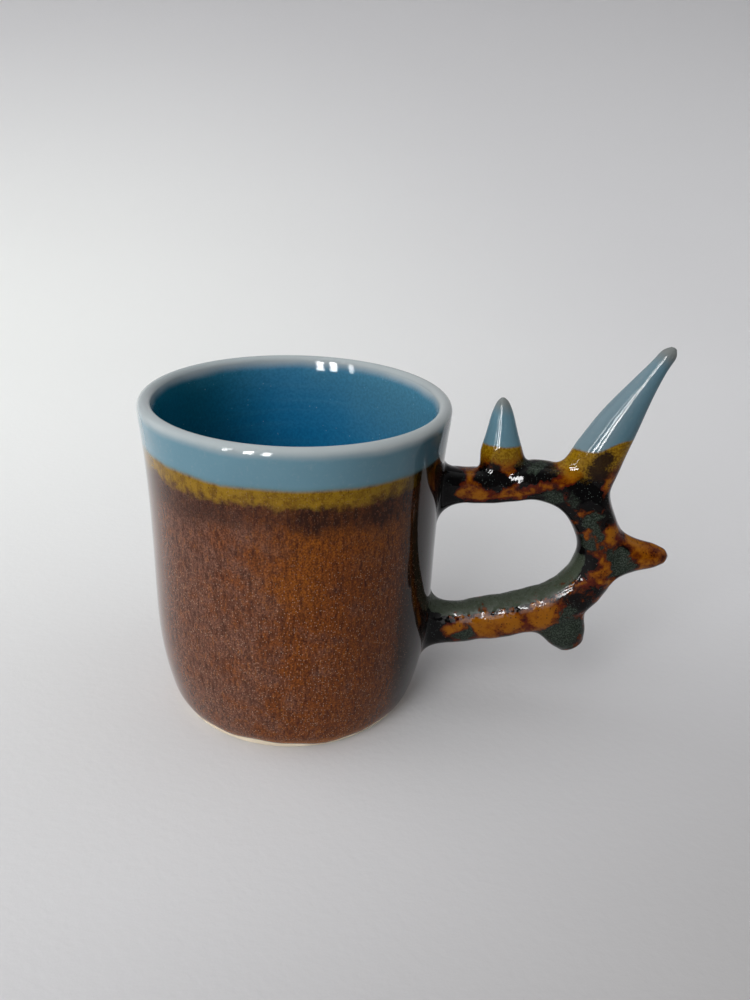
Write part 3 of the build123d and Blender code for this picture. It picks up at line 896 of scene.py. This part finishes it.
liner_glaze = make_liner_glaze()

# %% [markdown]
# ## Amber and black on the handle
#
# On the handle the same rust glaze lies thick and thin by turns. Where it is thin, on edges and
# outward faces, it is a glowing amber. Where it pooled, it is black or dark green and full of tiny
# white crystals, which make it matt on the lower arm's inner side. The places of the pools come
# from the tables above, as marks on the mesh, and noise makes their edges wander.

# %% The handle
THICKNESS_COLOURS = [
    (0.00, (0.240, 0.080, 0.002)), (0.14, (0.180, 0.051, 0.001)), (0.29, (0.112, 0.025, 0.0008)),
    (0.41, (0.052, 0.009, 0.0008)), (0.51, (0.014, 0.003, 0.0008)), (0.61, (0.003, 0.0016, 0.0014)),
    (1.00, (0.0022, 0.0020, 0.0022)),
]
GREEN_GREY, GREEN_DARK = (0.034, 0.046, 0.034), (0.009, 0.013, 0.009)
GREEN_PALE, RED_EDGE, STAIN = (0.064, 0.076, 0.052), (0.080, 0.008, 0.003), (0.010, 0.003, 0.001)
BLACK_PIT, CRYSTAL, THIN_TIP = (0.004, 0.003, 0.002), (0.16, 0.20, 0.18), (0.17, 0.165, 0.15)


def dipped(glaze, colour, fine):
    """The blue of the dip over a colour: up to the dip line, olive for 5 mm below it, with a line
    that wanders, that lies a little higher on the near side, and that climbs at the outer side of
    the long thorn."""
    step, over, near, x = glaze.step, glaze.over, glaze.near, glaze.x
    wander, grain = glaze.cloud(6.0) - 0.5, fine - 0.5
    level = glaze.z - DIP_LINE - step(x, 81.0, 89.5, 0.1, 3.9) + glaze.y * 0.13 + wander * 1.2
    olive = over(OLIVE_DEEP, (step(fine, 0.35, 0.66), OLIVE))
    lower = step(x, 70.0, 76.0, 0.0, 2.4)
    zone = step(level + lower + wander * 4.0 + grain * 3.0, -6.4, -2.6)
    zone = zone * (1 - near((66.4, -2.0, 77.5), 5.2, 2.4, wander * 2.0))
    # A stain where the long thorn's foot held a thick drop of it
    ragged = wander * 5.0 + grain * 2.4
    stain = near((84.2, -4.8, 79.6), 3.0, 1.1, ragged)
    stain = stain.larger(near((83.4, -5.2, 76.6), 3.3, 1.1, ragged))
    # The long thorn: a painted pale sheen on its upper side, which faces the light, and painted
    # shade on its underside
    side = x - (glaze.z - 111.0) * 0.449
    sheen_upper_side = step(side, 99.0, 94.6) * step(x, 66.0, 72.0)
    deeper = step(side, 99.4, 103.4, 1.0, 0.84)
    blue = over(blue_coat(glaze, glaze.cloud(1.2, detail=4.0)), (sheen_upper_side * 0.26, BLUE_THIN))
    # Painted shade: the thorns' blue is darker than the wall's, the long thorn's most
    blue = glaze.shade(blue, step(x, 60.0, 84.0, 0.78, 0.67) * deeper)
    for tip, radius in (((98.6, 0, 111.0), 4.6), ((56.2, 0, 94.2), 3.4)):
        blue = over(blue, (near(tip, radius, 2.2, wander * 2.0) * 0.8, THIN_TIP))
    dip = step(level + grain * 0.6, -0.4, 0.5)
    return over(colour, (zone, olive), (stain * 0.94, STAIN), (dip, blue))


def make_handle_glaze():
    glaze = Finish("amber_handle_glaze")
    step, over, cloud = glaze.step, glaze.over, glaze.cloud
    mark, x, z = glaze.mark, glaze.x, glaze.z
    coarse = cloud(6.0, detail=5.0, rough=0.6, warp=0.7) - 0.5
    middle = cloud(2.0, detail=4.0, rough=0.62, warp=0.4) - 0.5
    fine, drops, inward = cloud(0.6), cloud(1.5, detail=2.0), mark("inward")

    # The side towards the fingers: green-grey below, nearly black above, with a dotted edge
    low_arm = step(z, 54.0, 46.0)
    opening = step(inward + middle * 0.16, 0.66, 0.80)
    dotted = step(inward + middle * 0.22, 0.48, 0.60) * step(inward, 0.84, 0.72)
    dotted = dotted * step(cloud(1.0, detail=2.0), 0.38, 0.52)
    underside = step(inward + middle * 0.12, 0.40, 0.56) * step(z, 58.0, 64.0)
    thickness = mark("pooling") + coarse * 1.35 + middle * 0.75 + (fine - 0.5) * 0.34 + 0.29
    thickness = thickness + dotted * low_arm * 0.35 + opening * 0.40
    # The upper arm's underside is made darker, except close to the wall
    thickness = thickness + underside * step(x, 42.0, 50.0) * 0.30
    # Red at the edge of the thick places
    red = step(cloud(9.0, glaze.stretch(shift=(4, 0, 7))), 0.50, 0.66)
    red = red * step(thickness, 0.26, 0.42) * step(thickness, 0.64, 0.50)
    # Green-grey and its crystals, as grains and as a few bright flecks
    deep = mark("crystals") + coarse * 1.1 + middle * 0.8 + opening * low_arm * 1.2
    deep = step(deep, 0.34, 0.62) * step(thickness, 0.30, 0.52)
    grains = step(cloud(0.42, detail=2.0), 0.42, 0.66)
    green = over(GREEN_DARK, (grains, GREEN_GREY), (opening * low_arm * 0.7, GREEN_PALE))
    flecks = glaze.specks(0.42, 0.26, grain=0.34) * step(coarse + middle, -0.14, 0.10)
    # Black pits only where it is thin
    pits = glaze.specks(0.8, 0.34, glaze.stretch(shift=(2, 5, 1)), 0.36)
    colour = over(
        glaze.ramp(thickness, THICKNESS_COLOURS), (red * 0.7, RED_EDGE), (deep, green),
        (flecks * step(thickness, 0.44, 0.60) * 0.45, CRYSTAL),
        (pits * step(thickness, 0.46, 0.30) * 0.8, BLACK_PIT),
    )
    height = cloud(3.4, detail=2.0) + drops * 0.22 + fine * 0.03
    # The crystals made the green-grey side of the lower arm matt, but for some glassy drops
    matt = step(inward, 0.34, 0.42) * low_arm * step(x, 80.0, 75.0) * step(drops, 0.56, 0.51)
    rough = step(fine, 0.3, 0.8, 0.035, 0.075) + matt * 0.45
    return glaze.wear(dipped(glaze, colour, fine), rough, height, 0.16, IOR=HANDLE_GLOSS)


handle_glaze = make_handle_glaze()


# %% Caps
def make_cap_glaze():
    glaze = Finish("blue_cap_glaze")
    fine = glaze.cloud(0.6)
    colour = dipped(glaze, glaze.over(OLIVE_DEEP, (fine, OLIVE)), fine)
    return glaze.wear(colour, 0.02, glaze.cloud(3.4, detail=2.0), 0.05, IOR=HANDLE_GLOSS)


cap_glaze = make_cap_glaze()

# %% [markdown]
# ## Telling the frame what stands for what
#
# Each dressed piece rides on the mug's one body and takes the place of its CAD node. MuJoCo goes on
# using the CAD nodes.

# %% Dressing the frame
pieces = [
    (cup_clay, "cup_body", "bare_stoneware", bare_clay),
    (liner_coat, "liner_glaze", "blue_glaze", liner_glaze),
    (rim_coat, "rim_glaze", "blue_glaze", wall_glaze),
    (wall_coat, "wall_glaze", "brown_glaze", wall_glaze),
    (handle, "handle_bow", "amber_glaze", handle_glaze),
    (upper_fillet, "upper_root_collar", "amber_glaze", handle_glaze),
    (lower_fillet, "lower_root_collar", "amber_glaze", handle_glaze),
    (short_piece, "short_thorn", "amber_glaze", handle_glaze),
    (long_piece, "long_thorn", "amber_glaze", handle_glaze),
    (side_piece, "side_thorn", "amber_glaze", handle_glaze),
    (lower_piece, "lower_thorn", "amber_glaze", handle_glaze),
    (short_cap, "short_thorn_cap", "blue_glaze", cap_glaze),
    (long_cap, "long_thorn_cap", "blue_glaze", cap_glaze),
]
for piece, node, slot, material in pieces:
    piece.data.materials.append(material)
    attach(piece, "root")
    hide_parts(node)
print(len(pieces), "pieces stand for", len(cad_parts), "CAD nodes")


# %% [markdown]
# ## Paper sweep
#
# The mug stands on white paper that curves up behind it, so there is no horizon. The sweep is one
# profile, flat, then a quarter round, then upright, drawn out sideways.

# %% The sweep
PAPER_NEAR, PAPER_FAR = (0.47, 0.46, 0.475), (0.72, 0.715, 0.725)
PAPER_UPPER, PAPER_LIT, PAPER_DUSK = (0.42, 0.41, 0.425), (0.97, 0.98, 0.955), (0.34, 0.33, 0.325)


def make_sweep():
    """A sheet whose side view is floor, quarter circle and wall, drawn out along X, in metres."""
    front, back, bend_radius, top, half_width = -0.42, 0.32, 1.0, 2.6, 2.2
    turn = np.linspace(0, math.pi / 2, 48)
    curve = np.stack((back + bend_radius * np.sin(turn), bend_radius * (1 - np.cos(turn))), axis=1)
    side = np.vstack(([(front, 0.0)], curve, [(back + bend_radius, top)]))
    points = np.vstack([np.insert(side, 0, x, axis=1) for x in (-half_width, half_width)])
    count = len(side)
    first = np.arange(count - 1)
    faces = np.stack((first, first + count, first + count + 1, first + 1), axis=1)
    mesh = bpy.data.meshes.new("paper_sweep")
    mesh.from_pydata(points.tolist(), [], faces.tolist())
    mesh.shade_smooth()
    paper = Finish("white_paper")
    # Painted light and shade on the paper: darker in front, higher up and towards the lower right,
    # with a painted pool of light on the left behind the mug
    tone = paper.over(
        PAPER_NEAR, (paper.step(paper.y, -140.0, 420.0), PAPER_FAR),
        (paper.step(paper.z, 40.0, 600.0) * 0.9, PAPER_UPPER),
        (paper.near((-420.0, 320.0, 60.0), 420.0, 380.0, 0.0), PAPER_LIT),
        (paper.step(paper.x * 0.8 - paper.y, 50.0, 260.0) * 0.9, PAPER_DUSK),
    )
    mesh.materials.append(paper.wear(tone, 0.75, paper.cloud(2.5, detail=4.0), 0.12))
    sweep = put("paper_sweep", mesh)


make_sweep()

# %% [markdown]
# ## Window light and room
#
# The light is soft daylight from all round, with a tall window behind the camera's left shoulder.
# Its three panes are lamps that are only mirrored: they draw the bright lines down the thorns and
# the short dashes on the lip. Two wide panels that nothing mirrors give the soft light that comes
# with them. The room behind the camera is darker, which keeps the glazes deep.

# %% Lamps and world
LIT_SPOT = (0.02, 0, 0.06)  # what the lamps face, in metres
DAYLIGHT, BACKDROP = (0.97, 0.985, 1.0, 1), 0.62


def window_pane(name, azimuth, elevation, width, height, watts, distance=1.6):
    """An upright lamp in that direction from the mug, turned to face it: outwards = (sin a cos e,
    -cos a cos e, sin e)."""
    turn, rise = math.radians(azimuth), math.radians(elevation)
    outwards = np.array((math.sin(turn), -math.cos(turn), 0)) * math.cos(rise)
    outwards[2] = math.sin(rise)
    side = np.array((math.cos(turn), math.sin(turn), 0))
    lamp = bpy.data.lights.new(name, "AREA")
    lamp.shape, lamp.size, lamp.size_y, lamp.energy = "RECTANGLE", width, height, watts
    axes = (side, np.cross(outwards, side), outwards)
    return put(name, lamp, axes, outwards * distance + LIT_SPOT)


# The panes are what the glaze mirrors, and the two wide panels give the light that comes with them
for name, azimuth, width, watts in (
    ("right_pane", -13, 0.16, 56.0), ("left_pane", -25, 0.16, 56.0), ("far_pane", -41, 0.12, 20.0)
):
    pane = window_pane(name, azimuth, 9, width, 1.4, watts)
    pane.visible_diffuse = False
for panel in (
    window_pane("window_panel", -26, 26, 0.7, 1.3, 13.0),
    window_pane("sky_panel", -54, 55, 2.2, 1.6, 16.0, 2.2),
):
    panel.visible_glossy = False


def make_room():
    """The world: pale daylight that falls off towards the dim room behind the camera and to the
    right. The camera's own rays see an even backdrop."""
    world = bpy.data.worlds.new("room")
    bpy.context.scene.world = world
    world.use_nodes = True
    world.node_tree.nodes.clear()
    room = Nodes(world.node_tree)
    x, y, _ = room.apart(room.add("ShaderNodeTexCoord", {}, {}, "Generated"))
    strength = room.step(y, -0.75, 0.15, 0.12, 1.15, "LINEAR")
    strength = strength * room.step(x, -0.8, 0.8, 1.2, 0.62, "LINEAR")
    seen = room.add("ShaderNodeLightPath", {}, {}, "Is Camera Ray")
    strength = room.add("ShaderNodeMix", {}, {0: seen, 2: strength, 3: BACKDROP})
    shell = room.add("ShaderNodeBackground", {}, {"Color": DAYLIGHT, "Strength": strength})
    room.add("ShaderNodeOutputWorld", {}, {"Surface": shell}, None)


make_room()

# %% [markdown]
# ## Camera
#
# The camera is the one that a fit to the outlines of the rim, the foot and the wall gave: a
# 31.5 mm lens, looking down at the mug by 24 degrees and tilted by under 3.

# %% Camera
PITCH, YAW, ROLL, TURN = 0.4206193, 0.0984382, 0.0476614, math.radians(8)
CAMERA_SPOT = (0, -230.26, 164.065)  # in mm, before the turn about the mug's axis


def make_camera():
    """The view direction from pitch and yaw, its level right and up, the roll about it, and last a
    turn of all of it about the mug's axis."""
    ahead = np.array((math.sin(YAW), math.cos(YAW), 0)) * math.cos(PITCH)
    ahead[2] = -math.sin(PITCH)
    right = np.array((math.cos(YAW), -math.sin(YAW), 0))
    up = np.cross(right, ahead)
    tilted_right = math.cos(ROLL) * right + math.sin(ROLL) * up
    tilted_up = -math.sin(ROLL) * right + math.cos(ROLL) * up
    cos, sin = math.cos(TURN), math.sin(TURN)
    spin = np.array(((cos, -sin, 0), (sin, cos, 0), (0, 0, 1)))
    lens = bpy.data.cameras.new("camera")
    lens.lens, lens.sensor_width, lens.sensor_fit = 31.5, 36.0, "AUTO"
    lens.clip_start = 0.01
    axes = [spin @ axis for axis in (tilted_right, tilted_up, -ahead)]
    camera = put("camera", lens, axes, spin @ np.array(CAMERA_SPOT) * METRE)
    bpy.context.scene.camera = camera


make_camera()
bpy.context.scene.view_settings.view_transform = "Standard"
